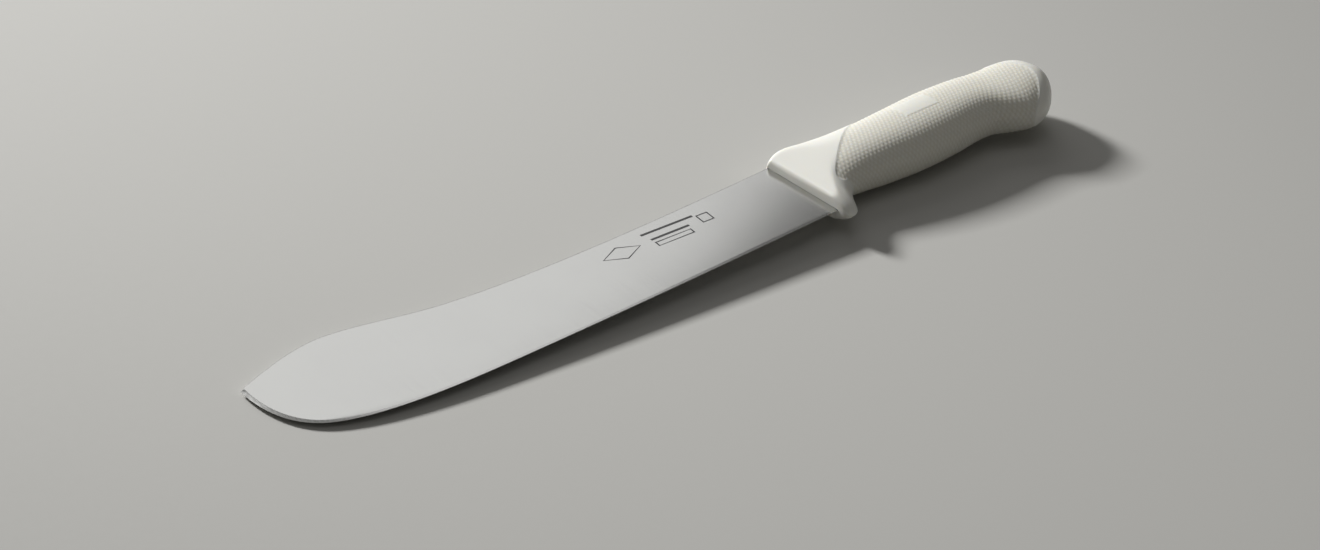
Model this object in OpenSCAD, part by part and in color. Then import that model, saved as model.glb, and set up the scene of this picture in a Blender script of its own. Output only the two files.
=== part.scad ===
// Butcher knife: a wide humped blade with its tang moulded into a guarded two-shot handle.
// The blade points to -X, the spine is on the +Y side and the cutting edge on the -Y side.
// The origin is on the blade's mid-plane, at the middle of the guard's front.

/* [Blade outline] */
// Length from the guard to the point
blade_l = 253; // [200:1:320]
// Spine above the origin where it leaves the guard
spine_y = 19; // [15:0.5:24]
// Cutting edge below the origin at the heel
heel_y = 20.3; // [16:0.1:25]
// Spine above the origin at its shallow dip
dip_y = 16.6; // [13:0.1:22]
// Highest point of the hump above the origin
hump_y = 30.3; // [26:0.1:36]
// Distance from the point back to the top of the hump
hump_back = 39; // [30:1:50]
// Distance from the point back to the foot of the hump
rise_back = 80; // [65:1:95]
// Point above the origin
tip_y = 20.8; // [14:0.1:25]
// Deepest part of the belly below the origin
belly_y = 23.6; // [20:0.1:30]
// Distance from the point back to the start of the belly curve
belly_back = 92; // [75:1:110]

/* [Blade section] */
// Thickness of the steel at the spine beside the guard
spine_t = 2.4; // [1.8:0.1:3.4]
// Thickness left above the edge bevel at the heel
shoulder_t = 0.7; // [0.4:0.05:1]
// Thinning of each face towards the point, in millimetres per metre
point_taper = 0.7; // [0:0.1:0.8]
// Width of the edge bevel
bevel_w = 1.3; // [0.8:0.1:2.5]
// Thickness of the cutting edge
edge_t = 0.1; // [0.06:0.01:0.2]

/* [Tang] */
// Plastic left between the tang's rear end and the butt
tang_gap = 38; // [25:0.5:60]
// Height of the tang beside the guard
tang_front_h = 25; // [18:1:30]
// Height of the tang at its rear end
tang_rear_h = 12; // [9:1:15]
// Diameter of the holes that the handle's plastic flows through
flow_hole_d = 6; // [4:0.5:7]
// Number of flow holes
flow_hole_n = 3; // [2:1:4]
// Depth of the blade root inside the guard
root_l = 4; // [3:0.5:6]

/* [Handle outline] */
// Length from the guard's front to the butt
handle_l = 138; // [120:0.5:170]
// Top of the guard's front above the origin
guard_top = 20.6; // [16:0.1:26]
// Bottom of the guard's front below the origin
guard_foot = 23; // [21:0.1:30]
// Top corner of the handle behind the guard's front
shoulder_top = 23.6; // [20:0.1:30]
// Lowest point of the finger guard below the origin
quillon_drop = 26.3; // [24:0.1:34]
// Top of the grip at the neck
neck_top = 19.7; // [17:0.1:24]
// Top of the grip over the palm swell
swell_top = 22; // [19:0.1:27]
// Underside of the grip below the origin at the palm swell
swell_foot = 14.2; // [12:0.1:18]
// Underside of the grip below the origin at the hollow before the butt
hollow_foot = 11.3; // [10:0.1:14.5]
// Top of the butt above the origin
butt_top = 20.6; // [19:0.1:27]
// Bottom of the butt below the origin
butt_foot = 18.6; // [15:0.1:23]
// Rearmost point of the butt above the origin
butt_mid = 2.3; // [0:0.1:9]

/* [Handle section] */
// Thickness of the guard at its front
guard_t = 10.6; // [8:0.1:14]
// Backward lean of the guard's front at the finger side, in degrees
guard_rake = 3.8; // [0:0.1:6]
// Slope of the smooth guard faces, in degrees
guard_slope = 11.3; // [8:0.1:15]
// Thickness of the handle at the neck
neck_t = 18; // [16:0.1:23]
// Thickness of the handle at the palm swell
swell_t = 23.8; // [20:0.1:29]
// Thickness of the handle at the butt
butt_t = 21.3; // [18:0.1:27]
// Rounding of the guard's front at its top and foot
front_round = 0.7; // [0.3:0.1:1.2]
// Rounding of the guard's front along its two flanks
front_crown = 1.8; // [0.8:0.1:2.4]

/* [Grip sleeve] */
// Wall of the grip sleeve
grip_wall = 2.5; // [1.6:0.1:3.2]
// Depth of the sleeve's surface below the guard and the butt
grip_sink = 0.15; // [0.1:0.05:0.6]
// Width of the smooth land behind the guard's crease
land_w = 1; // [0.5:0.1:2]

/* [Resolution] */
// Points around the handle
ring_n = 40; // [32:4:60]
// Steps along the grip
grip_n = 22; // [14:1:30]
// Steps along each curve of the blade
curve_n = 24; // [8:1:32]

/* [Hidden] */
steel = [0.79, 0.80, 0.81];
ivory = [0.90, 0.89, 0.84];
warm_ivory = [0.86, 0.85, 0.79];
$fn = 64;

// ---- curves ----
function mix(a, b, t) = a + (b - a) * t;
function bezier(p, t) =
    pow(1 - t, 3) * p[0] + 3 * pow(1 - t, 2) * t * p[1] + 3 * (1 - t) * t * t * p[2] + t * t * t * p[3];
function bezier_run(p, n) = [for (i = [0:n - 1]) bezier(p, i / n)];

// ---- blade outline, from the heel along the edge to the point and back along the spine ----
guard_lean = tan(guard_rake);
function guard_x(y) = -guard_lean * y;
tip = [-blade_l, tip_y];
heel = [guard_x(-heel_y), -heel_y];
spine_end = [guard_x(spine_y), spine_y];
belly = [-blade_l + belly_back, -belly_y];
turn = [-blade_l + 17, -belly_y + 8.6];
rise = [-blade_l + rise_back, mix(dip_y, hump_y, 0.42)];
hump = [-blade_l + hump_back, hump_y];

edge_heel = [heel, [heel[0] - 50, -mix(heel_y, belly_y, 0.5)], belly + [50, 0.1], belly];
edge_belly = [belly, belly - [30, 0.2], turn + [16, -7.4], turn];
edge_nose = [turn, turn + [-12.5, 5.8], tip + [-0.9, -17], tip];
spine_nose = [tip, tip + [13, 4.6], hump - [12, 0], hump];
spine_hump = [hump, hump + [11, 0], rise + [-16, 3.6], rise];
spine_back = [rise, rise + [38, -8], [spine_end[0] - 60, dip_y], spine_end];

edge_line = concat(bezier_run(edge_heel, curve_n), bezier_run(edge_belly, curve_n),
    bezier_run(edge_nose, curve_n), [tip]);
spine_line = concat(bezier_run(spine_nose, curve_n), bezier_run(spine_hump, curve_n),
    bezier_run(spine_back, curve_n), [spine_end]);

// ---- blade faces: each rises from the edge to the spine and falls towards the point ----
face_rise = (spine_t - shoulder_t) / 2 / (spine_y + heel_y - bevel_w);
face_tilt = atan(face_rise);
face_fall = atan(point_taper / 1000);
function face_z(p) = spine_t / 2 + face_rise * (p[1] - spine_y) + point_taper / 1000 * p[0];

module below_face(drop) {
    translate([0, spine_y, spine_t / 2 - drop])
        rotate([face_tilt, -face_fall, 0])
            translate([-2 * blade_l, -blade_l, -blade_l])
                cube([4 * blade_l, 2 * blade_l, blade_l]);
}

module between_faces(drop) {
    intersection() {
        below_face(drop);
        mirror([0, 0, 1]) below_face(drop);
    }
}

module blade_plan() {
    polygon(concat(edge_line, [for (i = [1:len(spine_line) - 1]) spine_line[i]]));
}

// Line that the edge bevel is ground along: the edge, run on past the point
bevel_line = concat(edge_line, [2 * tip - edge_line[len(edge_line) - 2]]);
bevel_end = len(bevel_line) - 1;

// Normal of that line at point i, pointing into the steel
function bevel_side(i) =
    let (d = bevel_line[min(i + 1, bevel_end)] - bevel_line[max(i - 1, 0)]) [d[1], -d[0]] / norm(d);

// Wedge of waste that is ground off one side of the edge
module bevel_cut() {
    reach = 3;
    rows = [for (i = [0:bevel_end])
        let (n = bevel_side(i), e = bevel_line[i], s = e + n * bevel_w, run = face_z(s) - edge_t / 2)
        [[e[0] - n[0] * reach, e[1] - n[1] * reach, edge_t / 2 - run / bevel_w * reach],
         [s[0] + n[0] * reach, s[1] + n[1] * reach, face_z(s) + run / bevel_w * reach],
         [e[0] - n[0] * reach, e[1] - n[1] * reach, face_z(s) + run / bevel_w * reach]]];
    points = [for (row = rows) each row];
    sides = [for (i = [0:bevel_end - 1], k = [0:2])
        let (a = 3 * i + k, b = 3 * i + (k + 1) % 3) each [[a, b, a + 3], [b, b + 3, a + 3]]];
    polyhedron(points, concat([[2, 1, 0]], sides, [[3 * bevel_end, 3 * bevel_end + 1, 3 * bevel_end + 2]]));
}

module ground_blade() {
    difference() {
        intersection() {
            linear_extrude(height = 4 * spine_t, center = true) blade_plan();
            between_faces(0);
        }
        bevel_cut();
        mirror([0, 0, 1]) bevel_cut();
    }
}

// Root of the blade, which runs on from the ground faces into the guard, a hair thinner
root_step = 0.04;
root_top = [guard_x(spine_y - 1), spine_y - 1];
root_foot = [guard_x(-heel_y + bevel_w + 1), -heel_y + bevel_w + 1];

module blade_root() {
    reach = [root_l, 0];
    intersection() {
        linear_extrude(height = 4 * spine_t, center = true)
            polygon([root_top - reach, root_foot - reach, root_foot + reach, root_top + reach]);
        between_faces(root_step);
    }
}

// ---- tang ----
tang_y = (neck_top - swell_foot) / 2 + 1;
tang_start_x = root_l - 2;
tang_end_x = handle_l - tang_gap - tang_rear_h / 2;
first_hole_x = 30;
hole_pitch = (tang_end_x - first_hole_x) / flow_hole_n;

module tang() {
    difference() {
        linear_extrude(height = spine_t, center = true) {
            polygon([[tang_start_x, tang_y + tang_front_h / 2], [tang_start_x, tang_y - tang_front_h / 2],
                [tang_end_x, tang_y - tang_rear_h / 2], [tang_end_x, tang_y + tang_rear_h / 2]]);
            translate([tang_end_x, tang_y]) circle(d = tang_rear_h);
        }
        for (i = [0:flow_hole_n - 1])
            translate([first_hole_x + i * hole_pitch, tang_y, 0])
                cylinder(d = flow_hole_d, h = 4 * spine_t, center = true);
    }
}

module blade() {
    color(steel) {
        ground_blade();
        blade_root();
        tang();
    }
}

// ---- handle sections ----
// Each station: x, top, foot, widest height, half thickness, fullness above and below
hollow_x = handle_l - 46;
neck_x = 39;
butt_x = handle_l - 24;
stations = [
    [0, guard_top, -guard_foot, 7, neck_t / 2, 2.3, 1.9],
    [3.5, mix(guard_top, shoulder_top, 0.64), -quillon_drop, 7, neck_t / 2, 2.3, 1.8],
    [7.5, shoulder_top, -quillon_drop + 1, 7, neck_t / 2, 2.3, 1.6],
    [11.5, shoulder_top - 0.2, -mix(quillon_drop, swell_foot, 0.64), 6.5, neck_t / 2, 2.3, 1.7],
    [15.5, shoulder_top - 1, -swell_foot + 0.2, 6, neck_t / 2, 2.3, 2],
    [26, neck_top + 0.8, -swell_foot + 1.6, 4.5, mix(neck_t, swell_t, 0.45) / 2, 2.2, 2.2],
    [neck_x, neck_top, -swell_foot + 0.8, 3.5, mix(neck_t, swell_t, 0.8) / 2, 2.2, 2.2],
    [mix(neck_x, hollow_x, 0.36), mix(neck_top, swell_top, 0.4), -swell_foot, 3.5, swell_t / 2, 2.2, 2.2],
    [mix(neck_x, hollow_x, 0.73), swell_top, -mix(swell_foot, hollow_foot, 0.4), 4.2, swell_t / 2, 2.2, 2.2],
    [hollow_x, swell_top, -hollow_foot, 4.5, mix(swell_t, butt_t, 0.4) / 2, 2.2, 2.2],
    [handle_l - 38, mix(swell_top, butt_top, 0.2), -hollow_foot - 0.6, 4, mix(swell_t, butt_t, 0.7) / 2,
        2.2, 2.2],
    [handle_l - 31, mix(swell_top, butt_top, 0.6), -mix(hollow_foot, butt_foot, 0.6), 2.8, butt_t / 2,
        2.2, 2.2],
    [butt_x, butt_top, -butt_foot, 2.2, butt_t / 2, 2.2, 2.2]
];
last_station = len(stations) - 1;

// Smooth curve through the stations
function slope_at(i) =
    let (a = stations[max(i - 1, 0)], b = stations[min(i + 1, last_station)]) (b - a) / (b[0] - a[0]);
function span_at(x, i = 0) = i >= last_station - 1 || x < stations[i + 1][0] ? i : span_at(x, i + 1);
function station_at(x) =
    let (i = span_at(x), a = stations[i], b = stations[i + 1], w = b[0] - a[0], t = (x - a[0]) / w)
    (2 * t * t * t - 3 * t * t + 1) * a + (t * t * t - 2 * t * t + t) * w * slope_at(i)
    + (3 * t * t - 2 * t * t * t) * b + (t * t * t - t * t) * w * slope_at(i + 1);

// Fullness of the butt's rounding at its top, at its foot, between them and through its thickness
butt_top_full = 3;
butt_foot_full = 1.7;
butt_mid_full = 2.5;
cap_full = 2.3;

function rounded(q, p) = pow(max(0, 1 - pow(max(0, q), p)), 1 / p);
function power(v, n) = sign(v) * pow(abs(v), 2 / n);

// Height of the skin at x and angle a, where 0 is the spine side and 180 the finger side
function skin_y(x, a, inset) =
    let (s = station_at(min(x, butt_x)), q = (x - butt_x) / (handle_l - butt_x),
        top = mix(butt_mid, s[1], rounded(q, butt_top_full)) - inset,
        foot = mix(butt_mid, s[2], rounded(q, butt_foot_full)) + inset,
        wide = mix(butt_mid, s[3], rounded(q, butt_mid_full)))
    cos(a) >= 0 ? wide + (top - wide) * power(cos(a), s[5]) : wide + (wide - foot) * power(cos(a), s[6]);

// Rear limit of the sleeve, an arc that follows the butt
cap_start = handle_l - 12;
function rear_x(y) = handle_l - 9.2 - 0.036 * pow(y - 2, 2);
function cap_shape(x) = rounded((x - cap_start) / (handle_l - cap_start), cap_full);
function cap_factor(x, y) = x <= rear_x(y) ? 1 : cap_shape(x) / cap_shape(rear_x(y));

// Depth of the skin on the +Z side: the rounded grip, cut by the sloping guard face along a sharp crease
crease_power = 40;
function guard_z(x, y) = guard_t / 2 + tan(guard_slope) * max(0, x - guard_x(y));
function skin_z(x, a, inset) =
    let (s = station_at(min(x, butt_x)), y = skin_y(x, a, 0),
        body = s[4] * cap_factor(x, y) * abs(power(sin(a), cos(a) >= 0 ? s[5] : s[6])),
        shelf = guard_z(x, y),
        both = pow(max(body, 0.01), -crease_power) + pow(shelf, -crease_power),
        cut = min(body, pow(both, -1 / crease_power)))
    sign(sin(a)) * max(0, cut - inset * abs(sin(a)));

// Crease at the rear of the smooth guard face
function crease_plan(y) = 17.3 + 1.05 * y + 0.021 * y * y;
function front_x(a) = guard_x(skin_y(0, a, 0));
function crease_x(a, x = 10, turns = 10) =
    turns == 0 ? max(x, front_x(a) + front_crown + 0.5)
    : crease_x(a, mix(x, crease_plan(skin_y(x, a, 0)), 0.35), turns - 1);
function ease(t) = let (u = min(1, max(0, t))) u * u * (3 - 2 * u);
function sleeve_x(a) = mix(crease_x(a) + land_w, 15.5, ease((-cos(a) - 0.5) / 0.45));
function end_x(a, x = 120, turns = 4) =
    turns == 0 ? x : end_x(a, rear_x(skin_y(x, a, 0)), turns - 1);

function ring_angle(j) = 360 * j / ring_n;
function skin_point(x, a, inset) = [x, skin_y(x, a, inset), skin_z(x, a, inset)];
crease_xs = [for (j = [0:ring_n - 1]) crease_x(ring_angle(j))];
sleeve_xs = [for (j = [0:ring_n - 1]) sleeve_x(ring_angle(j))];
end_xs = [for (j = [0:ring_n - 1]) end_x(ring_angle(j))];
function ring(xs, inset) = [for (j = [0:ring_n - 1]) skin_point(xs[j], ring_angle(j), inset)];

front_n = 3;
guard_n = 9;
quillon_n = 6;
butt_n = 12;
front_xs = [for (j = [0:ring_n - 1]) front_x(ring_angle(j))];
function front_ring(turn) = [for (j = [0:ring_n - 1])
    let (x = front_xs[j], a = ring_angle(j), left = 1 - sin(turn), y = skin_y(x, a, front_round * left))
    [guard_x(y) + front_crown * (1 - cos(turn)), y, skin_z(x, a, front_crown * left)]];
front_rings = [for (i = [0:front_n - 1]) front_ring(90 * i / front_n)];
guard_rings = [for (i = [0:guard_n])
    ring([for (j = [0:ring_n - 1]) mix(front_xs[j] + front_crown, crease_xs[j], i / guard_n)], 0)];
quillon_rings = [for (i = [1:quillon_n])
    ring([for (j = [0:ring_n - 1]) mix(crease_xs[j], sleeve_xs[j], i / quillon_n)], 0)];
function grip_rings(inset) = [for (i = [0:grip_n])
    ring([for (j = [0:ring_n - 1]) mix(sleeve_xs[j], end_xs[j], i / grip_n)], inset)];
butt_rings = [for (i = [0:butt_n])
    ring([for (j = [0:ring_n - 1]) mix(end_xs[j], handle_l, 0.998 * sin(90 * i / butt_n))], 0)];
sleeve_outside = grip_rings(grip_sink);
sleeve_inside = grip_rings(grip_wall + grip_sink);

// Triangles between two neighbouring rings; flip picks the other diagonal
function band(i, k, flip) = [for (j = [0:ring_n - 1])
    let (a = i * ring_n + j, b = i * ring_n + (j + 1) % ring_n,
        c = k * ring_n + j, d = k * ring_n + (j + 1) % ring_n)
    each flip ? [[a, b, c], [b, d, c]] : [[a, b, d], [a, d, c]]];

module handle_core() {
    rings = concat(front_rings, guard_rings, quillon_rings, [sleeve_outside[0]], sleeve_inside,
        [sleeve_outside[grip_n]], butt_rings);
    last = len(rings) - 1;
    walls = [for (i = [0:last - 1]) each band(i, i + 1, false)];
    front = [for (j = [ring_n - 1:-1:0]) j];
    back = [for (j = [0:ring_n - 1]) last * ring_n + j];
    color(ivory)
        difference() {
            polyhedron([for (r = rings) each r], concat(walls, [front, back]));
            blade_root();
            tang();
        }
}

module grip_sleeve() {
    outer_n = len(sleeve_outside);
    inner = [for (i = [grip_n:-1:0]) sleeve_inside[i]];
    rings = concat(sleeve_outside, inner);
    count = len(rings);
    walls = [for (i = [0:count - 1]) each band(i, (i + 1) % count, i >= outer_n)];
    color(warm_ivory)
        polyhedron([for (r = rings) each r], walls);
}

blade();
handle_core();
grip_sleeve();
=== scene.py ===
"""Looks of a butcher knife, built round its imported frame.

The blade points to -X, its spine is on the +Y side, and +Z is the side that faces up. The guard's front
is at X 0. Lengths are in metres.
"""

import math

import bmesh
import bpy
import numpy as np
from bpy.props import FloatProperty, FloatVectorProperty, IntProperty, PointerProperty
from mathutils import Matrix, Vector


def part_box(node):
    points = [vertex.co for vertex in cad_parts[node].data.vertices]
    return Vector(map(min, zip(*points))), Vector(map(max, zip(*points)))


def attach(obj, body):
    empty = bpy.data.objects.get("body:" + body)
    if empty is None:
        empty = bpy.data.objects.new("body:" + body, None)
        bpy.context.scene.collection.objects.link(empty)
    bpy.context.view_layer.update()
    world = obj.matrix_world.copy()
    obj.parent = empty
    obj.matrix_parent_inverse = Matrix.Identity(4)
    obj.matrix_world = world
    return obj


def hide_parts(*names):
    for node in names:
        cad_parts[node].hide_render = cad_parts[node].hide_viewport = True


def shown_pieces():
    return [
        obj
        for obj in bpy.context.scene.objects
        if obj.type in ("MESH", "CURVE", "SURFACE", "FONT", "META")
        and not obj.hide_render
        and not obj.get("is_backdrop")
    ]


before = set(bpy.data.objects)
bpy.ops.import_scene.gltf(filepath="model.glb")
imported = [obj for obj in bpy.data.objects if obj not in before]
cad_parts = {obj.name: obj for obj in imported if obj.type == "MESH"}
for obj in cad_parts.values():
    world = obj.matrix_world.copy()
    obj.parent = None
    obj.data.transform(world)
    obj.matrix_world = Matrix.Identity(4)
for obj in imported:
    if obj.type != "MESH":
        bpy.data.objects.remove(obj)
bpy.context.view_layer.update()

bl_info = {
    "name": "Butcher knife",
    "version": (1, 0, 0),
    "blender": (4, 5, 0),
    "location": "3D View > Sidebar > Knife",
    "description": "Builds a butcher knife with a ground blade and a handle moulded in two shots",
    "category": "Add Mesh",
}

MM = 0.001
BODY = "root"
BLADE_LOW, BLADE_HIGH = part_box("blade")
HANDLE_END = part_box("handle_core")[1].x


# ---- sizes and colours ----


def linear(hex_code):
    """Linear colour with alpha from an sRGB hex code such as C8C9CA."""
    parts = [int(hex_code[i : i + 2], 16) / 255 for i in (0, 2, 4)]
    return [p / 12.92 if p <= 0.04045 else ((p + 0.055) / 1.055) ** 2.4 for p in parts] + [1]


def length(name, description, millimetres):
    size = millimetres * MM
    return FloatProperty(name=name, description=description, default=size, unit="LENGTH", precision=5)


def angle(name, description, degrees):
    turn = math.radians(degrees)
    return FloatProperty(name=name, description=description, default=turn, unit="ROTATION")


def share(name, description, value):
    return FloatProperty(
        name=name, description=description, default=value, min=0, max=1, subtype="FACTOR"
    )


def colour(name, description, hex_code):
    shade = linear(hex_code)
    return FloatVectorProperty(
        name=name, description=description, default=shade, size=4, min=0, max=1, subtype="COLOR"
    )


class BladeSizes(bpy.types.PropertyGroup):
    reach: length("Length", "From the guard to the point", 253)
    spine_y: length("Spine at guard", "Spine above the middle where it leaves the guard", 19)
    heel_y: length("Heel", "Edge below the middle at the heel", 20.3)
    dip_y: length("Dip", "Spine above the middle at its shallow dip", 16.6)
    hump_y: length("Hump", "Highest point of the hump above the middle", BLADE_HIGH.y / MM)
    hump_back: length("Hump from point", "Distance from the point back to the top of the hump", 39)
    rise_back: length("Rise from point", "Distance from the point back to the foot of the hump", 80)
    tip_y: length("Point", "Point above the middle", 20.8)
    belly_y: length("Belly", "Deepest part of the belly below the middle", -BLADE_LOW.y / MM)
    belly_back: length("Belly from point", "Distance from the point back to the belly curve", 92)
    spine_t: length("Spine thickness", "Thickness of the steel at the spine beside the guard", 2.4)
    shoulder_t: length("Shoulder thickness", "Thickness left above the edge bevel at the heel", 0.7)
    point_taper: FloatProperty(
        name="Taper", description="Slope of each face towards the point", default=0.0007, precision=5
    )
    bevel_w: length("Bevel width", "Width of the edge bevel", 1.3)
    edge_t: length("Edge thickness", "Thickness of the cutting edge", 0.1)
    spine_ease: length("Spine easing", "Radius that the spine's corners are eased to", 0.5)
    steel: colour("Steel", "Colour of the polished stainless steel", "D2D2D0")
    polish: share("Polish roughness", "Roughness of the satin polished faces", 0.24)
    etch_w: length("Etched line width", "Width of the lines of the etched marks", 0.6)
    etch_dark: colour("Etch dark", "Darkest colour of the etched marks", "4A4A4B")
    etch_light: colour("Etch light", "Lightest colour of the etched marks", "6E6E6E")


class HandleSizes(bpy.types.PropertyGroup):
    reach: length("Length", "From the guard's front to the butt", HANDLE_END / MM)
    guard_top: length("Guard top", "Top of the guard's front above the middle", 20.6)
    guard_foot: length("Guard foot", "Bottom of the guard's front below the middle", 23)
    shoulder_top: length("Shoulder", "Top of the handle's corner behind the guard's front", 23.6)
    quillon_drop: length("Finger guard", "Lowest point of the finger guard below the middle", 26.3)
    neck_top: length("Neck top", "Top of the grip at the neck", 19.7)
    swell_top: length("Swell top", "Top of the grip over the palm swell", 22)
    swell_foot: length("Swell foot", "Underside of the grip at the palm swell", 14.2)
    hollow_foot: length("Hollow foot", "Underside of the grip at the hollow before the butt", 11.3)
    butt_top: length("Butt top", "Top of the butt above the middle", 20.6)
    butt_foot: length("Butt foot", "Bottom of the butt below the middle", 18.6)
    butt_mid: length("Butt middle", "Rearmost point of the butt above the middle", 2.3)
    guard_t: length("Guard thickness", "Thickness of the guard at its front", 10.6)
    guard_rake: angle("Guard rake", "Backward lean of the guard's front at the finger side", 3.8)
    guard_slope: angle("Guard slope", "Slope of the smooth guard faces", 11.3)
    neck_t: length("Neck thickness", "Thickness of the handle at the neck", 18)
    swell_t: length("Swell thickness", "Thickness of the handle at the palm swell", 23.8)
    butt_t: length("Butt thickness", "Thickness of the handle at the butt", 21.3)
    front_round: length("Front rounding", "Width of the rounding round the guard's front", 0.7)
    front_crown: length("Front crown", "Height of the rounding on the guard's front edges", 1.8)
    slot_gap: length("Slot gap", "Gap between the blade and the moulded slot", 0.1)
    grip_wall: length("Sleeve wall", "Wall of the grip sleeve", 2.5)
    grip_sink: length("Sleeve sink", "Depth of the sleeve below the guard and the butt", 0.17)
    end_sink: length("End sink", "Depth of the sleeve's two ends below the guard and the butt", 0.02)
    land_w: length("Land", "Smooth land behind the guard's crease", 1)
    pebble_pitch: length("Pebble pitch", "Distance between pebbles along the handle", 2)
    pebble_rows: IntProperty(
        name="Pebble rows", description="Rows of pebbles round the grip", default=50, min=20
    )
    pebble_depth: length("Pebble depth", "Depth of the valleys between pebbles", 0.26)
    pad_x: length("Pad place", "Middle of the smooth pad behind the guard's front", 68.5)
    pad_y: length("Pad height", "Middle of the smooth pad above the middle", 7.5)
    pad_w: length("Pad length", "Length of the smooth pad along the grip", 17)
    pad_h: length("Pad width", "Width of the smooth pad across the grip", 9.5)
    core_ivory: colour("Core ivory", "Colour of the smooth moulded plastic", "E9E8E1")
    grip_ivory: colour("Grip ivory", "Colour of the pebbled sleeve", "E3E2DA")
    # Painted shade: the sleeve is coloured darker and warmer down between the pebbles
    valley_shade_ivory: colour("Valley ivory", "Colour of the sleeve down between the pebbles", "D4D0C2")


class StageSizes(bpy.types.PropertyGroup):
    eye: FloatVectorProperty(
        name="Eye",
        description="Place of the camera",
        default=(-0.764045, -0.801821, 0.702390),
        subtype="TRANSLATION",
    )
    gaze: FloatVectorProperty(
        name="Gaze",
        description="Direction that the camera looks in",
        default=(0.541417, 0.627959, -0.559050),
        subtype="DIRECTION",
    )
    roll: angle("Roll", "Turn of the camera about its gaze", 2)
    lens: FloatProperty(name="Lens", description="Focal length of the camera", default=89.465, unit="CAMERA")
    floor_w: FloatProperty(name="Floor width", description="Width of the floor", default=14, unit="LENGTH")
    floor_grey: colour("Floor", "Colour of the pale floor", "B8B7B3")
    room_grey: colour("Room", "Colour of the light that fills the room", "D0CFCB")
    room_light: FloatProperty(
        name="Room light", description="Strength of the light that fills the room", default=0.17
    )


def mix(a, b, t):
    """Value that is the share t of the way from a to b."""
    return a + (b - a) * t


# ---- blade outline and faces ----


def bezier(p, steps):
    """Points along a cubic curve, without its last one."""
    t = (np.arange(steps) / steps)[:, None]
    a, b, c, d = (np.array(q, float) for q in p)
    return (1 - t) ** 3 * a + 3 * (1 - t) ** 2 * t * b + 3 * (1 - t) * t * t * c + t**3 * d


def blade_outline(s, lean, steps=40):
    """Edge line from the heel to the point, and spine line from the point back to the guard.

    Each line is a chain of curves. off gives a curve's handle, in millimetres from the point it belongs to.
    """
    tip = np.array((-s.reach, s.tip_y))
    heel = np.array((lean * s.heel_y, -s.heel_y))
    spine_end = np.array((-lean * s.spine_y, s.spine_y))
    belly = np.array((-s.reach + s.belly_back, -s.belly_y))
    hump = np.array((-s.reach + s.hump_back, s.hump_y))

    def off(point, x, y):
        return point + np.array((x, y)) * MM

    # Where the belly turns up to the point, and where the spine rises to the hump
    turn = np.array((-s.reach + 17 * MM, -s.belly_y + 8.6 * MM))
    rise = np.array((-s.reach + s.rise_back, mix(s.dip_y, s.hump_y, 0.42)))
    from_heel = [heel[0] - 50 * MM, -mix(s.heel_y, s.belly_y, 0.5)]
    to_guard = [spine_end[0] - 60 * MM, s.dip_y]
    edge = [
        bezier([heel, from_heel, off(belly, 50, 0.1), belly], 2 * steps),
        bezier([belly, off(belly, -30, -0.2), off(turn, 16, -7.4), turn], steps),
        bezier([turn, off(turn, -12.5, 5.8), off(tip, -0.9, -17), tip], steps),
        tip[None],
    ]
    spine = [
        bezier([tip, off(tip, 13, 4.6), off(hump, -12, 0), hump], steps),
        bezier([hump, off(hump, 11, 0), off(rise, -16, 3.6), rise], steps),
        bezier([rise, off(rise, 38, -8), to_guard, spine_end], 2 * steps),
        spine_end[None],
    ]
    return np.concatenate(edge), np.concatenate(spine)


def face_height(s, x, y):
    """Height of the ground face above the blade's mid-plane."""
    rise = (s.spine_t - s.shoulder_t) / 2 / (s.spine_y + s.heel_y - s.bevel_w)
    return s.spine_t / 2 + rise * (y - s.spine_y) + s.point_taper * x


# ---- handle skin ----


def rounded(q, power):
    """Height of a rounded end, from 1 where q is 0 down to 0 where q is 1."""
    return np.maximum(0, 1 - np.maximum(0, q) ** power) ** (1 / power)


def ease(t):
    """Smooth step from 0 to 1."""
    u = np.clip(t, 0, 1)
    return u * u * (3 - 2 * u)


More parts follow.
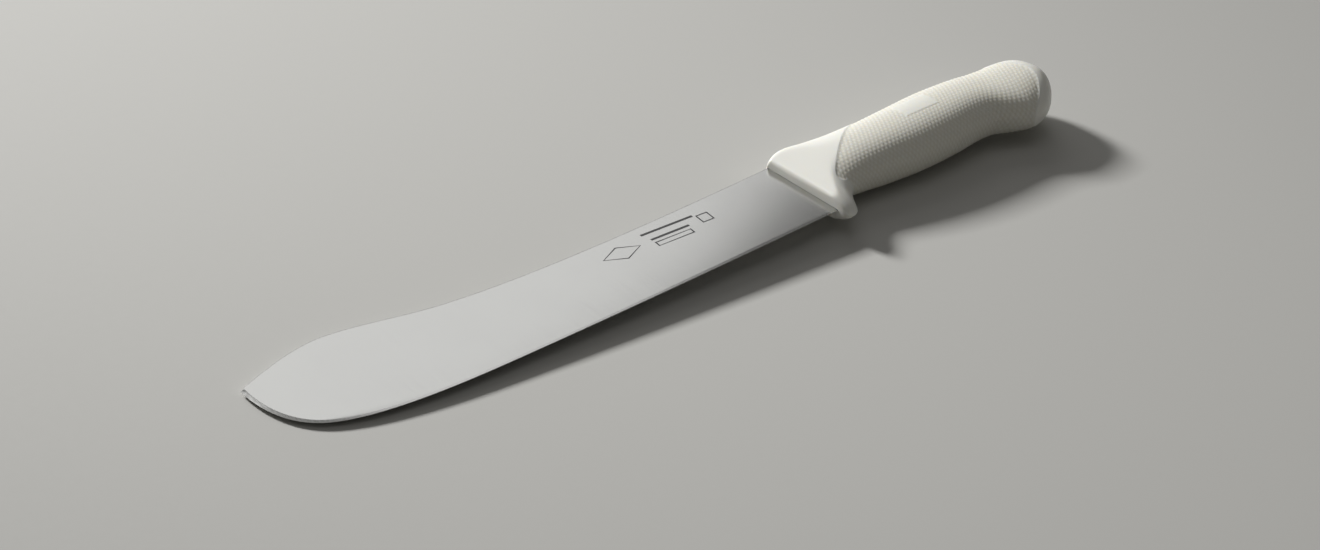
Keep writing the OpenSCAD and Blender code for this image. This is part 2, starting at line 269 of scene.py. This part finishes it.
class HandleSkin:
    """Outer surface of the handle at x and an angle round it, which is 0 on the spine side."""

    # Sharpness of the crease where the guard face meets the grip, and fullness of the butt's curves
    crease_power = 40
    butt_top_full = 3
    butt_foot_full = 1.7
    butt_mid_full = 2.5
    cap_full = 2.3
    # Places along the handle, from the guard's front and from the butt's end
    neck_from_front = 39 * MM
    hollow_from_end = 46 * MM
    butt_from_end = 24 * MM
    cap_from_end = 12 * MM
    # Rear border of the smooth guard face, as a curve in plan
    crease_start = 17.3 * MM
    crease_slope = 1.05
    crease_bend = 21
    # Least width of the smooth face behind the guard's rounded front
    face_least = 0.5 * MM
    # Arc that ends the sleeve, as a curve in plan
    arc_from_end = 9.2 * MM
    arc_middle = 2 * MM
    arc_bend = 36
    # Front of the sleeve on the finger side
    sleeve_under = 15.5 * MM

    def __init__(self, s):
        self.s = s
        self.lean = math.tan(s.guard_rake)
        self.slope = math.tan(s.guard_slope)
        neck_x = self.neck_from_front
        hollow_x = s.reach - self.hollow_from_end
        self.butt_x = s.reach - self.butt_from_end
        self.cap_start = s.reach - self.cap_from_end
        # Place along the handle, top, foot, height of the widest line, half thickness, and the fullness of
        # the section above and below the widest line
        self.stations = np.array([
            [0, s.guard_top, -s.guard_foot, 7 * MM, s.neck_t / 2, 2.3, 1.9],
            [3.5 * MM, mix(s.guard_top, s.shoulder_top, 0.64), -s.quillon_drop, 7 * MM,
             s.neck_t / 2, 2.3, 1.8],
            [7.5 * MM, s.shoulder_top, -s.quillon_drop + MM, 7 * MM, s.neck_t / 2, 2.3, 1.6],
            [11.5 * MM, s.shoulder_top - 0.2 * MM, -mix(s.quillon_drop, s.swell_foot, 0.64), 6.5 * MM,
             s.neck_t / 2, 2.3, 1.7],
            [15.5 * MM, s.shoulder_top - MM, -s.swell_foot + 0.2 * MM, 6 * MM, s.neck_t / 2, 2.3, 2],
            [26 * MM, s.neck_top + 0.8 * MM, -s.swell_foot + 1.6 * MM, 4.5 * MM,
             mix(s.neck_t, s.swell_t, 0.45) / 2, 2.2, 2.2],
            [neck_x, s.neck_top, -s.swell_foot + 0.8 * MM, 3.5 * MM,
             mix(s.neck_t, s.swell_t, 0.8) / 2, 2.2, 2.2],
            [mix(neck_x, hollow_x, 0.36), mix(s.neck_top, s.swell_top, 0.4), -s.swell_foot, 3.5 * MM,
             s.swell_t / 2, 2.2, 2.2],
            [mix(neck_x, hollow_x, 0.73), s.swell_top, -mix(s.swell_foot, s.hollow_foot, 0.4), 4.2 * MM,
             s.swell_t / 2, 2.2, 2.2],
            [hollow_x, s.swell_top, -s.hollow_foot, 4.5 * MM, mix(s.swell_t, s.butt_t, 0.4) / 2, 2.2, 2.2],
            [s.reach - 38 * MM, mix(s.swell_top, s.butt_top, 0.2), -s.hollow_foot - 0.6 * MM, 4 * MM,
             mix(s.swell_t, s.butt_t, 0.7) / 2, 2.2, 2.2],
            [s.reach - 31 * MM, mix(s.swell_top, s.butt_top, 0.6), -mix(s.hollow_foot, s.butt_foot, 0.6),
             2.8 * MM, s.butt_t / 2, 2.2, 2.2],
            [self.butt_x, s.butt_top, -s.butt_foot, 2.2 * MM, s.butt_t / 2, 2.2, 2.2],
        ])
        k = np.arange(len(self.stations))
        after = self.stations[np.minimum(k + 1, k[-1])]
        before = self.stations[np.maximum(k - 1, 0)]
        self.slopes = (after - before) / (after - before)[:, :1]

    def station(self, x):
        """Section values at x, on smooth curves through the stations."""
        xs = self.stations[:, 0]
        i = np.clip(np.searchsorted(xs, x, side="right") - 1, 0, len(xs) - 2)
        w = (xs[i + 1] - xs[i])[..., None]
        t = (x - xs[i])[..., None] / w
        start = (2 * t**3 - 3 * t**2 + 1) * self.stations[i] + (t**3 - 2 * t**2 + t) * w * self.slopes[i]
        end = (3 * t**2 - 2 * t**3) * self.stations[i + 1] + (t**3 - t**2) * w * self.slopes[i + 1]
        return np.moveaxis(start + end, -1, 0)

    def height(self, x, a, inset=0):
        """y of the skin, inset from the top and the foot."""
        _, top, foot, wide, _, over, under = self.station(np.minimum(x, self.butt_x))
        q = (x - self.butt_x) / (self.s.reach - self.butt_x)
        mid = self.s.butt_mid
        top = mix(mid, top, rounded(q, self.butt_top_full)) - inset
        foot = mix(mid, foot, rounded(q, self.butt_foot_full)) + inset
        wide = mix(mid, wide, rounded(q, self.butt_mid_full))
        c = np.cos(a)
        up = wide + (top - wide) * np.abs(c) ** (2 / over)
        down = wide - (wide - foot) * np.abs(c) ** (2 / under)
        return np.where(c >= 0, up, down)

    def front(self, y):
        """x of the guard's leaning front."""
        return -self.lean * y

    def rear(self, y):
        """Arc that ends the sleeve in front of the butt."""
        return self.s.reach - self.arc_from_end - self.arc_bend * (y - self.arc_middle) ** 2

    def cap(self, x):
        """Share of the thickness left where the butt rounds off."""
        return rounded((x - self.cap_start) / (self.s.reach - self.cap_start), self.cap_full)

    def depth(self, x, a, inset=0):
        """z of the skin: the rounded grip, cut by the sloping guard faces."""
        half, over, under = self.station(np.minimum(x, self.butt_x))[4:]
        y = self.height(x, a)
        c, si = np.cos(a), np.abs(np.sin(a))
        butt = np.where(x <= self.rear(y), 1, self.cap(x) / self.cap(self.rear(y)))
        body = half * butt * si ** (2 / np.where(c >= 0, over, under))
        shelf = self.s.guard_t / 2 + self.slope * np.maximum(0, x - self.front(y))
        body, n = np.maximum(body, 1e-9), self.crease_power
        cut = body * (1 + (body / shelf) ** n) ** (-1 / n)
        return np.sign(np.sin(a)) * np.maximum(0, cut - inset * si)

    def points(self, x, a, inset=0, depth_inset=None):
        """Points of the skin, inset by one distance in y and another in z, or by the same."""
        x = np.broadcast_to(x, np.broadcast(x, a).shape)
        drop = inset if depth_inset is None else depth_inset
        return np.stack([x, self.height(x, a, inset), self.depth(x, a, drop)], axis=-1)

    def front_x(self, a):
        """x of the guard's front at each angle."""
        return self.front(self.height(np.zeros_like(a), a))

    def crease_x(self, a):
        """Rear of the smooth guard face. Its height depends on x, so x is found in steps."""
        x = np.full_like(a, 10 * MM)
        for _ in range(10):
            y = self.height(x, a)
            x = mix(x, self.crease_start + self.crease_slope * y + self.crease_bend * y * y, 0.35)
        return np.maximum(x, self.front_x(a) + self.s.front_crown + self.face_least)

    def sleeve_x(self, a):
        """Front of the pebbled sleeve, behind the crease and, on the finger side, behind the guard."""
        finger_side = ease((-np.cos(a) - 0.5) / 0.45)
        return mix(self.crease_x(a) + self.s.land_w, self.sleeve_under, finger_side)

    def end_x(self, a):
        """Rear of the pebbled sleeve, found in steps like the crease."""
        x = np.full_like(a, 120 * MM)
        for _ in range(4):
            x = self.rear(self.height(x, a))
        return x

    def even_angles(self, count, x=60 * MM, samples=4001):
        """Angles that share the girth at x evenly."""
        a = np.linspace(0, 2 * np.pi, samples)
        p = self.points(np.full_like(a, x), a)
        run = np.concatenate([[0], np.cumsum(np.linalg.norm(np.diff(p, axis=0), axis=1))])
        return np.interp(np.arange(count) / count * run[-1], run, a)


# ---- meshes ----


def loft(rings, closed=False, crest=None, weld=1e-7):
    """Mesh through rings with equal numbers of points, where points nearer than weld become one.

    closed joins the last ring to the first. crest gives each point a value that its material reads.
    """
    rings = np.asarray(rings)
    count, around = rings.shape[:2]
    bm = bmesh.new()
    layer = None if crest is None else bm.verts.layers.float.new("crest")
    verts = [bm.verts.new(p) for p in rings.reshape(-1, 3)]
    if layer:
        for vert, value in zip(verts, crest.ravel()):
            vert[layer] = value
    for i in range(count if closed else count - 1):
        k = (i + 1) % count
        for j in range(around):
            m = (j + 1) % around
            corners = (i, j), (i, m), (k, m), (k, j)
            bm.faces.new([verts[ring * around + spot] for ring, spot in corners])
    if not closed:
        bm.faces.new(verts[:around][::-1])
        bm.faces.new(verts[-around:])
    bmesh.ops.remove_doubles(bm, verts=bm.verts, dist=weld)
    bmesh.ops.recalc_face_normals(bm, faces=bm.faces)
    return bm


def place(bm, name, nodes, materials, crisp=30):
    """Makes a piece that stands for the CAD nodes. Its shading breaks at edges sharper than crisp degrees."""
    for face in bm.faces:
        face.smooth = True
    for edge in bm.edges:
        edge.smooth = len(edge.link_faces) == 2 and edge.calc_face_angle(0) < math.radians(crisp)
    mesh = bpy.data.meshes.new(name)
    bm.to_mesh(mesh)
    bm.free()
    for material in materials:
        mesh.materials.append(material)
    piece = bpy.data.objects.new(name, mesh)
    bpy.context.scene.collection.objects.link(piece)
    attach(piece, BODY)
    if nodes:
        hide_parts(*nodes)
    return piece


# ---- materials ----


def add(tree, kind, inputs=None, **settings):
    """Adds a node with its settings, its values and its links."""
    node = tree.nodes.new(kind)
    for key, value in settings.items():
        setattr(node, key, value)
    for key, value in (inputs or {}).items():
        if isinstance(value, bpy.types.NodeSocket):
            tree.links.new(value, node.inputs[key])
        else:
            node.inputs[key].default_value = value
    return node


def new_material(name):
    """A material with no nodes yet, and its tree."""
    material = bpy.data.materials.new(name)
    material.use_nodes = True
    material.node_tree.nodes.clear()
    return material, material.node_tree


def satin_polished_stainless(s):
    """Stainless steel, satin polished from spine to edge: soft reflections, faint grain and a few smears."""
    material, tree = new_material("satin_polished_stainless")
    at = add(tree, "ShaderNodeTexCoord").outputs["Object"]
    # The grit leaves lines 0.1 mm apart; they are drawn 0.4 mm apart and 30 mm long so that they show.
    # Smears from wiping are about 35 mm across
    grain_at = add(tree, "ShaderNodeMapping", {"Vector": at, "Scale": (1 / (0.4 * MM), 1 / (30 * MM), 1)})
    scale = {"Vector": grain_at.outputs[0], "Scale": 1, "Detail": 3}
    grain = add(tree, "ShaderNodeTexNoise", scale).outputs[0]
    smear = add(tree, "ShaderNodeTexNoise", {"Vector": at, "Scale": 1 / (35 * MM), "Detail": 2}).outputs[0]
    fine = add(tree, "ShaderNodeMapRange", {"Value": grain, "To Min": -0.03, "To Max": 0.03})
    broad = add(
        tree, "ShaderNodeMapRange", {"Value": smear, "To Min": s.polish - 0.03, "To Max": s.polish + 0.03}
    )
    gloss = add(
        tree, "ShaderNodeMath", {0: fine.outputs["Result"], 1: broad.outputs["Result"]}, operation="ADD"
    )
    bump = add(tree, "ShaderNodeBump", {"Height": grain, "Strength": 0.04, "Distance": 0.02 * MM})
    shader = add(tree, "ShaderNodeBsdfPrincipled", {
        "Base Color": s.steel,
        "Metallic": 1,
        "Roughness": gloss.outputs[0],
        "Normal": bump.outputs["Normal"],
    })
    add(tree, "ShaderNodeOutputMaterial", {"Surface": shader.outputs["BSDF"]})
    return material


def honed_stainless(s):
    """Stainless steel, honed on a stone: rougher than the faces, with scratches that run to the edge."""
    material, tree = new_material("honed_stainless")
    at = add(tree, "ShaderNodeTexCoord").outputs["Object"]
    # The stone leaves scratches 0.05 mm apart; they are drawn 0.3 mm apart and 3 mm long so that they show
    grain_at = add(tree, "ShaderNodeMapping", {"Vector": at, "Scale": (1 / (0.3 * MM), 1 / (3 * MM), 1)})
    scale = {"Vector": grain_at.outputs[0], "Scale": 1, "Detail": 2}
    grain = add(tree, "ShaderNodeTexNoise", scale).outputs[0]
    gloss = add(tree, "ShaderNodeMapRange", {"Value": grain, "To Min": 0.2, "To Max": 0.34})
    bump = add(tree, "ShaderNodeBump", {"Height": grain, "Strength": 0.1, "Distance": 0.02 * MM})
    shader = add(tree, "ShaderNodeBsdfPrincipled", {
        "Base Color": s.steel,
        "Metallic": 1,
        "Roughness": gloss.outputs["Result"],
        "Normal": bump.outputs["Normal"],
    })
    add(tree, "ShaderNodeOutputMaterial", {"Surface": shader.outputs["BSDF"]})
    return material


def etched_stainless(s):
    """Stainless steel, darkened by electrolytic etching: flat, grey and matt, with a slightly uneven bite."""
    material, tree = new_material("etched_stainless")
    at = add(tree, "ShaderNodeTexCoord").outputs["Object"]
    # The bite is uneven over 0.1 mm; it is drawn over 0.6 mm, the width of a line, so that it shows
    bite = add(tree, "ShaderNodeTexNoise", {"Vector": at, "Scale": 1 / (0.6 * MM), "Detail": 3}).outputs[0]
    tints = {"Factor": bite, "A": s.etch_dark, "B": s.etch_light}
    tint = add(tree, "ShaderNodeMix", tints, data_type="RGBA")
    gloss = add(tree, "ShaderNodeMapRange", {"Value": bite, "To Min": 0.5, "To Max": 0.7})
    shader = add(tree, "ShaderNodeBsdfPrincipled", {
        "Base Color": tint.outputs["Result"],
        "Metallic": 1,
        "Roughness": gloss.outputs["Result"],
    })
    add(tree, "ShaderNodeOutputMaterial", {"Surface": shader.outputs["BSDF"]})
    return material


def moulded_polypropylene(s):
    """Ivory polypropylene, injection moulded in a polished tool: even, waxy, with broad soft highlights."""
    material, tree = new_material("moulded_polypropylene")
    at = add(tree, "ShaderNodeTexCoord").outputs["Object"]
    # The melt's flow varies tone and sheen over about 25 mm. The moulded skin has a grain of 0.1 mm, drawn
    # at 0.5 mm so that it shows
    cloud = add(tree, "ShaderNodeTexNoise", {"Vector": at, "Scale": 1 / (25 * MM), "Detail": 2}).outputs[0]
    skin = add(tree, "ShaderNodeTexNoise", {"Vector": at, "Scale": 1 / (0.5 * MM), "Detail": 2}).outputs[0]
    amount = add(tree, "ShaderNodeMapRange", {"Value": cloud, "To Min": 0, "To Max": 0.5}).outputs["Result"]
    tints = {"Factor": amount, "A": s.core_ivory, "B": s.grip_ivory}
    tint = add(tree, "ShaderNodeMix", tints, data_type="RGBA")
    gloss = add(tree, "ShaderNodeMapRange", {"Value": cloud, "To Min": 0.33, "To Max": 0.42})
    bump = add(tree, "ShaderNodeBump", {"Height": skin, "Strength": 0.2, "Distance": 0.05 * MM})
    shader = add(tree, "ShaderNodeBsdfPrincipled", {
        "Base Color": tint.outputs["Result"],
        "Roughness": gloss.outputs["Result"],
        "IOR": 1.49,
        "Normal": bump.outputs["Normal"],
        "Subsurface Weight": 0.2,
        "Subsurface Radius": (1, 0.8, 0.5),
        "Subsurface Scale": 1.5 * MM,
    })
    add(tree, "ShaderNodeOutputMaterial", {"Surface": shader.outputs["BSDF"]})
    return material


def pebbled_elastomer(s):
    """Ivory elastomer, moulded over the core in a textured tool: satin pebbles, with painted shade, a darker
    and warmer ivory, down between them.
    """
    material, tree = new_material("pebbled_elastomer")
    at = add(tree, "ShaderNodeTexCoord").outputs["Object"]
    crest = add(tree, "ShaderNodeAttribute", attribute_name="crest").outputs["Fac"]
    # The pebbles are in the mesh. The skin on them has a grain of 0.1 mm, drawn at 0.3 mm so that it shows
    skin = add(tree, "ShaderNodeTexNoise", {"Vector": at, "Scale": 1 / (0.3 * MM), "Detail": 2}).outputs[0]
    # The crest value darkens and warms the valleys between the pebbles: painted shade
    tints = {"Factor": crest, "A": s.valley_shade_ivory, "B": s.grip_ivory}
    tint = add(tree, "ShaderNodeMix", tints, data_type="RGBA")
    gloss = add(tree, "ShaderNodeMapRange", {"Value": crest, "To Min": 0.55, "To Max": 0.42})
    bump = add(tree, "ShaderNodeBump", {"Height": skin, "Strength": 0.1, "Distance": 0.05 * MM})
    shader = add(tree, "ShaderNodeBsdfPrincipled", {
        "Base Color": tint.outputs["Result"],
        "Roughness": gloss.outputs["Result"],
        "IOR": 1.5,
        "Normal": bump.outputs["Normal"],
        "Subsurface Weight": 0.2,
        "Subsurface Radius": (1, 0.8, 0.5),
        "Subsurface Scale": 1.5 * MM,
    })
    add(tree, "ShaderNodeOutputMaterial", {"Surface": shader.outputs["BSDF"]})
    return material


def painted_floor(s):
    """Pale painted board: flat and matt, with a faint roller texture."""
    material, tree = new_material("painted_floor")
    at = add(tree, "ShaderNodeTexCoord").outputs["Object"]
    # The roller leaves a stipple about 4 mm across
    roller = add(tree, "ShaderNodeTexNoise", {"Vector": at, "Scale": 1 / (4 * MM), "Detail": 1}).outputs[0]
    gloss = add(tree, "ShaderNodeMapRange", {"Value": roller, "To Min": 0.8, "To Max": 0.9})
    shader = add(tree, "ShaderNodeBsdfPrincipled", {
        "Base Color": s.floor_grey,
        "Roughness": gloss.outputs["Result"],
    })
    add(tree, "ShaderNodeOutputMaterial", {"Surface": shader.outputs["BSDF"]})
    return material


# ---- pieces ----


class KNIFE_OT_blade(bpy.types.Operator):
    """Builds the ground blade with its edge bevel and eased spine"""

    bl_idname = "knife.blade"
    bl_label = "Blade"

    # The faces run on this far inside the guard
    root = 1.5 * MM
    # The edge bevel turns into the spine's easing over this distance behind the point
    point_fade = 3 * MM

    def execute(self, context):
        s = context.scene.knife_blade
        lean = math.tan(context.scene.knife_handle.guard_rake)
        edge, spine = blade_outline(s, lean)
        root = (self.root, 0)
        outline = np.concatenate([edge, spine[1:], [spine[-1] + root, edge[0] + root]])
        ahead, behind = np.roll(outline, -1, axis=0), np.roll(outline, 1, axis=0)
        along = (ahead - behind) / np.linalg.norm(ahead - behind, axis=1)[:, None]
        along[[0, -1]] = along[1]
        along[[-3, -2]] = along[-4]
        inward = np.stack([along[:, 1], -along[:, 0]], axis=1)

        # How far each point is ground to an edge: 1 on the edge, 0 on the spine
        sharp = np.zeros(len(outline))
        sharp[: len(edge)] = 1
        sharp[-1] = 1
        from_point = np.linalg.norm(outline - edge[-1], axis=1)
        after_point = np.arange(len(outline)) >= len(edge)
        fading = np.clip(1 - from_point / self.point_fade, 0, 1)
        sharp = np.where(after_point & (sharp == 0), fading, sharp)

        bevel_top = face_height(s, *(outline + inward * s.bevel_w).T)
        spine_top = face_height(s, *(outline + inward * s.spine_ease).T)
        # Rings from the mid-plane out to the face: the first is the middle of the spine and of the edge
        turns = np.radians([0, 0, 22.5, 45, 67.5, 90])
        side = []
        for step, turn in enumerate(turns):
            ground = step / (len(turns) - 1)
            inset = mix(s.spine_ease * (1 - math.cos(turn)), s.bevel_w * ground, sharp)
            low = mix(s.edge_t / 2, bevel_top, ground)
            high = spine_top - s.spine_ease * (1 - math.sin(turn)) if step else np.zeros(len(outline))
            side.append(np.column_stack([outline + inward * inset[:, None], mix(high, low, sharp)]))
        bm = loft([ring * (1, 1, -1) for ring in side[::-1]] + side)

        for face in bm.faces:
            middle = face.calc_center_median()
            near = np.min(np.hypot(edge[:, 0] - middle.x, edge[:, 1] - middle.y))
            face.material_index = int(len(face.verts) < 5 and near < s.bevel_w)
        steels = [satin_polished_stainless(s), honed_stainless(s)]
        place(bm, "ground_blade", ["blade"], steels, crisp=12)
        return {"FINISHED"}


class KNIFE_OT_marks(bpy.types.Operator):
    """Lays the plain etched marks on the blade: two bars, a box, a lozenge and a square"""

    bl_idname = "knife.marks"
    bl_label = "Etched marks"

    # Height above the face, so that the marks aren't hidden in it
    lift = 0.02 * MM
    # Corners, and the two ends of each bar, in millimetres
    lozenge = [(-96, 6.9), (-86.7, 2.2), (-77.4, 6.5), (-86.7, 11.2)]
    square = [(-47.6, 4.2), (-41.9, 3.9), (-41.6, 9.4), (-47.3, 9.7)]
    box = [(-71.9, 1.9), (-54.3, 1), (-54.2, 4), (-71.8, 4.9)]
    bars = [[(-73.4, 11.6), (-48.2, 10.4)], [(-71.9, 7), (-53.3, 6.2)]]

    def execute(self, context):
        s = context.scene.knife_blade
        bm = bmesh.new()

        def patch(corners):
            bm.faces.new([bm.verts.new((x, y, face_height(s, x, y) + self.lift)) for x, y in corners])

        for shape in (self.lozenge, self.square, self.box):
            outer = np.array(shape) * MM
            middle = outer.mean(axis=0)
            reach = np.abs(outer - middle).max(axis=0)
            inner = middle + (outer - middle) * (1 - s.etch_w / reach)
            for k in range(4):
                j = (k + 1) % 4
                patch([outer[k], outer[j], inner[j], inner[k]])
        for start, end in np.array(self.bars) * MM:
            side = np.array((0, s.etch_w))
            patch([start - side, end - side, end + side, start + side])
        place(bm, "etched_marks", [], [etched_stainless(s)])
        return {"FINISHED"}


class KNIFE_OT_handle_core(bpy.types.Operator):
    """Builds the smooth moulded core: guard, finger guard and butt"""

    bl_idname = "knife.handle_core"
    bl_label = "Handle core"

    # Rings along each stretch
    guard_rings = 22
    quillon_rings = 12
    waist_rings = 14
    butt_rings = 30
    # The last ring is just short of the butt's end, and one face closes it
    butt_share = 0.9995
    # The blade hides the slot's floor, so the slot is only this deep
    slot_depth = 1 * MM

    def execute(self, context):
        s = context.scene.knife_handle
        b = context.scene.knife_blade
        skin = HandleSkin(s)
        a = skin.even_angles(4 * s.pebble_rows)
        front, crease, sleeve, end = skin.front_x(a), skin.crease_x(a), skin.sleeve_x(a), skin.end_x(a)

        rounding = []
        for turn in np.radians([0, 18, 36, 54, 72, 90]):
            left = 1 - math.sin(turn)
            back = front + s.front_crown * (1 - math.cos(turn))
            rounding.append(skin.points(back, a, s.front_round * left, s.front_crown * left))

        face = rounding[0]
        slot_y = np.clip(face[:, 1], -b.heel_y - s.slot_gap, b.spine_y + s.slot_gap)
        slot_z = face_height(b, 0, slot_y) + s.slot_gap
        slot = np.column_stack([skin.front(slot_y), slot_y, np.clip(face[:, 2], -slot_z, slot_z)])
        slot_floor = slot + (self.slot_depth, 0, 0)

        swing = np.linspace(0, np.pi / 2, self.guard_rings)
        guard = [skin.points(mix(front + s.front_crown, crease, t), a) for t in np.sin(swing)]
        shares = np.linspace(0, 1, self.quillon_rings)[1:]
        quillon = [skin.points(mix(crease, sleeve, t), a) for t in shares]
        depth = s.grip_wall + s.grip_sink
        waist = [skin.points(mix(sleeve, end, t), a, depth) for t in np.linspace(0, 1, self.waist_rings)]
        lip = [skin.points(sleeve, a, s.grip_sink)]
        heel = [skin.points(end, a, s.grip_sink)]
        swing = np.linspace(0, np.pi / 2, self.butt_rings)
        butt = [skin.points(mix(end, s.reach, self.butt_share * math.sin(t)), a) for t in swing]

        opening = [slot_floor, slot, mix(slot, face, 0.5)]
        bm = loft(opening + rounding + guard + quillon + lip + waist + heel + butt)
        place(bm, "moulded_core", ["handle_core"], [moulded_polypropylene(s)])
        return {"FINISHED"}


class KNIFE_OT_grip_sleeve(bpy.types.Operator):
    """Builds the pebbled sleeve round the grip"""

    bl_idname = "knife.grip_sleeve"
    bl_label = "Grip sleeve"

    # Points to a pebble, round the grip and along it
    around = 6
    along = 4
    # The pebbles rise over this distance from each end of the sleeve
    end_ramp = 1.5 * MM
    # Rows without pebbles on each side of the spine, and rows over which the pebbles rise
    spine_rows = 1
    spine_ramp = 2
    # Share of straight ribs along the grip among the staggered pebbles
    rib_share = 0.12
    # Slope round the smooth pad, as a share of half the pad
    pad_ramp = 0.15
    inner_rings = 12

    def execute(self, context):
        s = context.scene.knife_handle
        skin = HandleSkin(s)
        a = skin.even_angles(self.around * s.pebble_rows)
        sleeve, end = skin.sleeve_x(a), skin.end_x(a)
        step = s.pebble_pitch / self.along
        xs = np.arange(math.floor(sleeve.min() / step), math.ceil(end.max() / step) + 1) * step
        x = np.clip(xs[:, None], sleeve, end)
        angles = np.broadcast_to(a, x.shape)

        row = np.arange(len(a)) / self.around
        ribs = np.abs(np.cos(np.pi * row))
        staggered = 0.5 + 0.5 * np.cos(np.pi * row) * np.cos(2 * np.pi * x / s.pebble_pitch)
        from_spine = np.minimum(row, s.pebble_rows - row)
        from_end = ease(np.minimum(x - sleeve, end - x) / self.end_ramp)
        pebbled = ease((from_spine - self.spine_rows) / self.spine_ramp) * from_end
        pad = np.abs(x - s.pad_x) / (s.pad_w / 2), np.abs(skin.height(x, angles) - s.pad_y) / (s.pad_h / 2)
        outside_pad = ease((np.maximum(*pad) - 1) / self.pad_ramp)
        pebbled = pebbled * np.where(angles < np.pi, outside_pad, 1)
        # crest also sets the painted shade between the pebbles, through the sleeve material's colour
        crest = mix(1, mix(staggered, ribs, self.rib_share), pebbled)

        sink = mix(s.end_sink, s.grip_sink, from_end)
        outside = skin.points(x, angles, sink + s.pebble_depth * (1 - crest))
        depth = s.grip_wall + s.grip_sink
        shares = np.linspace(0, 1, self.inner_rings)
        inside = [skin.points(mix(end, sleeve, t), a, depth) for t in shares]
        crest = np.concatenate([crest, np.ones((len(shares), len(a)))])
        bm = loft(np.concatenate([outside, inside]), closed=True, crest=crest)
        place(bm, "pebbled_sleeve", ["grip_sleeve"], [pebbled_elastomer(s)])
        return {"FINISHED"}


# ---- stage ----


def area_light(aim, name, place_at, width, height, watts, spread):
    """Soft panel that shines from place_at towards aim."""
    light = bpy.data.lights.new(name, "AREA")
    light.shape = "RECTANGLE"
    light.size, light.size_y, light.energy, light.spread = width, height, watts, math.radians(spread)
    lamp = bpy.data.objects.new(name, light)
    lamp.location = place_at
    lamp.rotation_euler = (Vector(aim) - Vector(place_at)).to_track_quat("-Z", "Y").to_euler()
    bpy.context.scene.collection.objects.link(lamp)


class KNIFE_OT_stage(bpy.types.Operator):
    """Lays the floor under the knife and sets up the lights and the camera"""

    bl_idname = "knife.stage"
    bl_label = "Stage"

    # The knife lies on the fullest place of the grip, and on the blade's far end, where the steel is thinner
    rest_x = 70 * MM
    rest_half_t = 1.05 * MM
    # The lights point at the blade near the guard
    aim = (-0.06, 0, 0)
    # Name, place, width and height, power in watts, and the angle that the light spreads over
    lights = [
        ("key", (-0.4, 2.3, 1.28), 0.45, 0.45, 11, 60),
        ("back_panel", (0.47, 1.1, 0.95), 1, 0.8, 2.1, 180),
        ("top_panel", (-0.06, 0, 1.9), 1.8, 1.2, 2, 180),
    ]

    def execute(self, context):
        s = context.scene.knife_stage
        handle = context.scene.knife_handle
        drop = handle.swell_t / 2 - handle.grip_sink
        tilt = math.atan2(drop - self.rest_half_t, -BLADE_LOW.x + self.rest_x)
        up = Vector((math.sin(tilt), 0, math.cos(tilt)))
        lowest = min(up.dot(v.co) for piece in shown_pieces() for v in piece.data.vertices)
        half = s.floor_w / 2
        corners = [(-half, -half, 0), (half, -half, 0), (half, half, 0), (-half, half, 0)]
        mesh = bpy.data.meshes.new("floor")
        mesh.from_pydata(corners, [], [(0, 1, 2, 3)])
        mesh.materials.append(painted_floor(s))
        floor = bpy.data.objects.new("floor", mesh)
        lie = up.to_track_quat("Z", "X").to_matrix().to_4x4()
        floor.matrix_world = Matrix.Translation(up * lowest) @ lie
        context.scene.collection.objects.link(floor)
        floor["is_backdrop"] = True

        for light in self.lights:
            area_light(self.aim, *light)
        world = bpy.data.worlds.new("studio")
        world.use_nodes = True
        room = world.node_tree.nodes["Background"].inputs
        room["Color"].default_value = s.room_grey
        room["Strength"].default_value = s.room_light
        context.scene.world = world
        context.scene.view_settings.view_transform = "Standard"

        camera = bpy.data.cameras.new("camera")
        camera.sensor_width, camera.lens = 36, s.lens
        camera.clip_start, camera.clip_end = 0.01, 20
        eye = bpy.data.objects.new("camera", camera)
        turn = Vector(s.gaze).to_track_quat("-Z", "Y").to_matrix() @ Matrix.Rotation(s.roll, 3, "Z")
        eye.matrix_world = Matrix.Translation(s.eye) @ turn.to_4x4()
        context.scene.collection.objects.link(eye)
        context.scene.camera = eye
        return {"FINISHED"}


class KNIFE_PT_panel(bpy.types.Panel):
    """Lists the knife's pieces and sizes"""

    bl_idname = "KNIFE_PT_panel"
    bl_label = "Butcher knife"
    bl_space_type = "VIEW_3D"
    bl_region_type = "UI"
    bl_category = "Knife"

    def draw(self, context):
        for operator in STEPS:
            self.layout.operator(operator.bl_idname)
        for group in GROUPS:
            settings = getattr(context.scene, group)
            for key in settings.__annotations__:
                self.layout.prop(settings, key)


GROUPS = {"knife_blade": BladeSizes, "knife_handle": HandleSizes, "knife_stage": StageSizes}
STEPS = [KNIFE_OT_blade, KNIFE_OT_marks, KNIFE_OT_handle_core, KNIFE_OT_grip_sleeve, KNIFE_OT_stage]


def register():
    for kind in [*GROUPS.values(), *STEPS, KNIFE_PT_panel]:
        bpy.utils.register_class(kind)
    for name, kind in GROUPS.items():
        setattr(bpy.types.Scene, name, PointerProperty(type=kind))


def unregister():
    for name in GROUPS:
        delattr(bpy.types.Scene, name)
    for kind in [KNIFE_PT_panel, *STEPS, *GROUPS.values()]:
        bpy.utils.unregister_class(kind)


def main():
    register()
    bpy.ops.knife.blade()
    bpy.ops.knife.marks()
    bpy.ops.knife.handle_core()
    bpy.ops.knife.grip_sleeve()
    bpy.ops.knife.stage()


if __name__ == "__main__":
    main()
